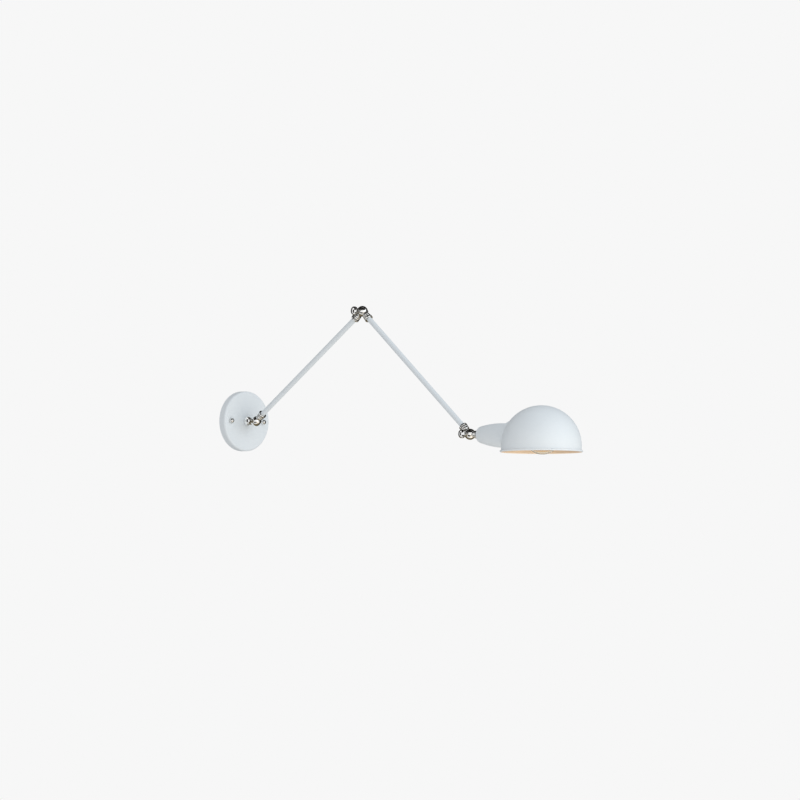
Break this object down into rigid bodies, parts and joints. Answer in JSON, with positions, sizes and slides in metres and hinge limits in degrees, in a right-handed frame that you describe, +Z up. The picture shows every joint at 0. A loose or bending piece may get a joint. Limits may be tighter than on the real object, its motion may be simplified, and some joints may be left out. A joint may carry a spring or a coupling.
{
  "type": "swing arm wall lamp",
  "caption": "Swing arm wall lamp: round backplate, slim tube arms on chrome ball knuckles with thumb knobs, bullet socket cup and a dome shade that faces down.",
  "frame": {"origin": "centre of the round backplate, in the plane of the wall, midway between the wall screw slots", "axes": "+X along the wall to the right as seen from the room, +Y into the wall, +Z up; the lamp reaches out along -Y"},
  "size_m": [0.1552, 0.9177, 0.2927],
  "materials": {
    "white_paint": "fine matte powder coat",
    "chrome": "polished",
    "zinc_steel": "zinc plated",
    "friction_fibre": "matte",
    "terminal_nylon": "matte",
    "brass": "plain",
    "cable_sheath": "matte",
    "lampholder_plastic": "gloss",
    "bulb_glass": "clear, warm tint",
    "bulb_cap_metal": "satin",
    "bulb_insulator": "gloss",
    "filament": "plain"
  },
  "bodies": {
    "wall_plate": {"mounting_bracket": "zinc_steel", "backplate": "white_paint", "plate_screws": "chrome", "centre_nipple": "zinc_steel", "nipple_washer": "zinc_steel", "nipple_locknut": "zinc_steel", "terminal_block": "terminal_nylon", "terminal_screws": "brass", "earth_screw": "brass", "supply_cable": "cable_sheath"},
    "base_stem": {"base_collar": "chrome", "base_knuckle_inner": "chrome", "base_friction_washer": "friction_fibre", "base_cap_nut": "chrome"},
    "base_knob": {"base_thumb_knob": "chrome", "base_pivot_screw": "zinc_steel"},
    "lower_arm": {"base_knuckle_outer": "chrome", "lower_arm_base_collar": "chrome", "lower_arm_tube": "white_paint", "lower_arm_cable": "cable_sheath", "lower_arm_elbow_collar": "chrome", "elbow_knuckle_inner": "chrome", "elbow_friction_washer": "friction_fibre", "elbow_cap_nut": "chrome"},
    "elbow_knob": {"elbow_thumb_knob": "chrome", "elbow_pivot_screw": "zinc_steel"},
    "upper_arm": {"elbow_knuckle_outer": "chrome", "upper_arm_elbow_collar": "chrome", "upper_arm_tube": "white_paint", "upper_arm_cable": "cable_sheath", "upper_arm_head_collar": "chrome", "head_knuckle_inner": "chrome", "head_friction_washer": "friction_fibre", "head_cap_nut": "chrome"},
    "head_knob": {"head_thumb_knob": "chrome", "head_pivot_screw": "zinc_steel"},
    "head": {"head_knuckle_outer": "chrome", "head_collar": "chrome", "cup_nipple": "zinc_steel", "cup_locknut": "zinc_steel", "socket_cup": "white_paint", "head_cable": "cable_sheath", "lampholder_body": "lampholder_plastic", "socket_shell": "brass", "centre_contact": "brass", "shade_ring": "lampholder_plastic", "shade_neck": "white_paint", "shade": "white_paint", "bulb_glass": "bulb_glass", "bulb_cap": "bulb_cap_metal", "bulb_insulator": "bulb_insulator", "bulb_tip_contact": "bulb_cap_metal", "bulb_stem": "bulb_glass", "filament_leads": "filament", "filament": "filament"}
  },
  "joints": [
    {"name": "base_swivel", "type": "hinge", "parent": "wall_plate", "child": "base_stem", "pos_m": [0, 0, 0], "axis": [0, 1, 0], "range_deg": [-90, 90]},
    {"name": "base_tilt", "type": "hinge", "parent": "base_stem", "child": "lower_arm", "pos_m": [0, -0.0421, 0], "axis": [-1, 0, 0], "range_deg": [-120, 55]},
    {"name": "elbow_fold", "type": "hinge", "parent": "lower_arm", "child": "upper_arm", "pos_m": [0, -0.34748, 0.21067], "axis": [-1, 0, 0], "range_deg": [-36, 183]},
    {"name": "head_tilt", "type": "hinge", "parent": "upper_arm", "child": "head", "pos_m": [0, -0.6515, -0.03202], "axis": [-1, 0, 0], "range_deg": [-146, 73]},
    {"name": "base_knob_turn", "type": "hinge", "parent": "base_stem", "child": "base_knob", "pos_m": [0, -0.0421, 0], "axis": [-1, 0, 0], "range_deg": [0, 360]},
    {"name": "elbow_knob_turn", "type": "hinge", "parent": "lower_arm", "child": "elbow_knob", "pos_m": [0, -0.34748, 0.21067], "axis": [-1, 0, 0], "range_deg": [0, 360]},
    {"name": "head_knob_turn", "type": "hinge", "parent": "upper_arm", "child": "head_knob", "pos_m": [0, -0.6515, -0.03202], "axis": [-1, 0, 0], "range_deg": [0, 360]}
  ]
}
